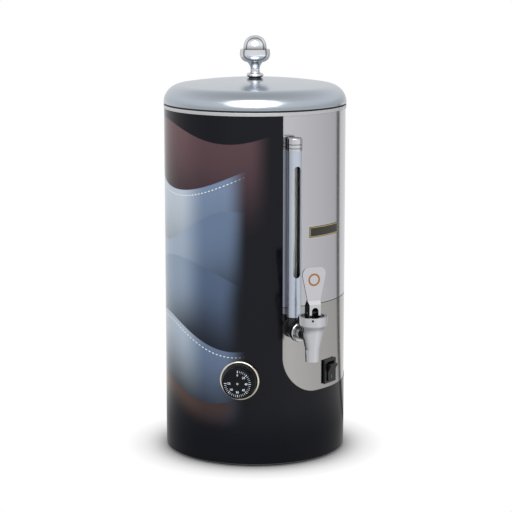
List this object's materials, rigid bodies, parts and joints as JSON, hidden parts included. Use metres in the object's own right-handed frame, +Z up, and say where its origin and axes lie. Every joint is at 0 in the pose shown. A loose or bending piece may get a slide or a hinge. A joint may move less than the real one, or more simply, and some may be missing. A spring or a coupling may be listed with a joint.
{
  "type": "coffee urn",
  "caption": "Tall round coffee urn with a dark printed wrap, steel window, sight gauge, lever tap, thermostat knob, rocker switch and a domed lid with an acorn knob.",
  "frame": {"origin": "middle of the foot ring's underside, on the floor under the urn's axis", "axes": "+Z up, -Y towards the tap, +Y towards the cable gland, +X towards the switch"},
  "size_m": [0.221, 0.3132, 0.505],
  "materials": {
    "casing_steel": "brushed round the casing",
    "printed_film": "glossy printed vinyl",
    "label_enamel": "dark enamel with a gold border",
    "inner_steel": "stainless sheet with a bright rim",
    "zinc_fastener": "bright zinc",
    "brass_nut": "turned",
    "heater_alloy": "heat-darkened tube",
    "control_plastic": "moulded phenolic",
    "black_rubber": "moulded",
    "lid_satin": "satin, spun",
    "chrome_plate": "polished",
    "nickel_ring": "satin nickel",
    "black_moulding": "moulded phenolic",
    "clear_glass": "clear",
    "knob_moulding": "moulded, with a white scale",
    "scale_white": "white"
  },
  "bodies": {
    "urn": {"lower_casing": "casing_steel", "upper_casing": "casing_steel", "joint_band": "black_rubber", "printed_film": "printed_film", "label_plate": "label_enamel", "base_lip": "inner_steel", "base_plate": "inner_steel", "base_screws": "zinc_fastener", "foot_ring": "black_rubber", "coffee_tank": "inner_steel", "boiler_vessel": "inner_steel", "boiler_gasket": "black_rubber", "boiler_cover": "inner_steel", "floor_gasket": "black_rubber", "cover_bolts": "zinc_fastener", "heating_element": "heater_alloy", "heater_nuts": "brass_nut", "thermostat": "control_plastic", "thermal_cutout": "control_plastic", "terminal_block": "control_plastic", "riser_tube": "inner_steel", "riser_nut": "brass_nut", "basket_collar": "inner_steel", "filter_basket": "inner_steel", "spray_head": "inner_steel", "tap_tee": "black_moulding", "wall_seals": "black_rubber", "back_nut": "brass_nut", "union_nut": "chrome_plate", "tap_body": "chrome_plate", "tap_bonnet": "black_moulding", "tap_spring": "zinc_fastener", "gauge_guard": "chrome_plate", "gauge_glass": "clear_glass", "gauge_cap": "chrome_plate", "gauge_orings": "black_rubber", "gauge_stud": "inner_steel", "gauge_stud_nut": "zinc_fastener", "gland_body": "black_moulding", "gland_cap": "black_moulding", "gland_locknut": "black_moulding", "control_can": "inner_steel", "control_ring": "nickel_ring", "control_probe": "inner_steel", "probe_boss": "inner_steel", "switch_housing": "black_moulding", "switch_terminals": "zinc_fastener"},
    "lid": {"lid_dome": "lid_satin", "lid_gasket": "black_rubber", "lid_knob": "chrome_plate", "knob_screw": "zinc_fastener"},
    "tap_valve": {"tap_stem": "black_moulding", "valve_seal": "black_rubber"},
    "tap_lever": {"lever_pin": "zinc_fastener", "lever_core": "black_moulding", "lever_plate": "chrome_plate"},
    "switch_rocker": {"switch_rocker": "black_moulding"},
    "knob": {"control_knob": "knob_moulding", "control_cap": "scale_white", "control_shaft": "inner_steel"}
  },
  "joints": [
    {"name": "lid_lift", "type": "slide", "parent": "urn", "child": "lid", "axis": [0, 0, 1], "range_m": [0, 0.12]},
    {"name": "tap_stem_lift", "type": "slide", "parent": "urn", "child": "tap_valve", "axis": [0, 0, 1], "range_m": [0, 0.0045], "deforming": ["tap_spring"]},
    {"name": "tap_lever_tilt", "type": "hinge", "parent": "tap_valve", "child": "tap_lever", "pos_m": [0, -0.172, 0.1989], "axis": [1, 0, 0], "range_deg": [0, 35], "stiffness_Nm_per_rad": 0.5, "springref_deg": -11.46},
    {"name": "switch_rock", "type": "hinge", "parent": "urn", "child": "switch_rocker", "pos_m": [0.05669, -0.09251, 0.1075], "axis": [-0.8526, -0.5225, 0], "range_deg": [0, 24]},
    {"name": "knob_turn", "type": "hinge", "parent": "urn", "child": "knob", "pos_m": [-0.06186, -0.10095, 0.1075], "axis": [-0.5225, -0.8526, 0], "range_deg": [0, 270]}
  ],
  "couplings": [
    {"joint": "tap_stem_lift", "follows": "tap_lever_tilt", "m_per_rad": 0.006548}
  ]
}
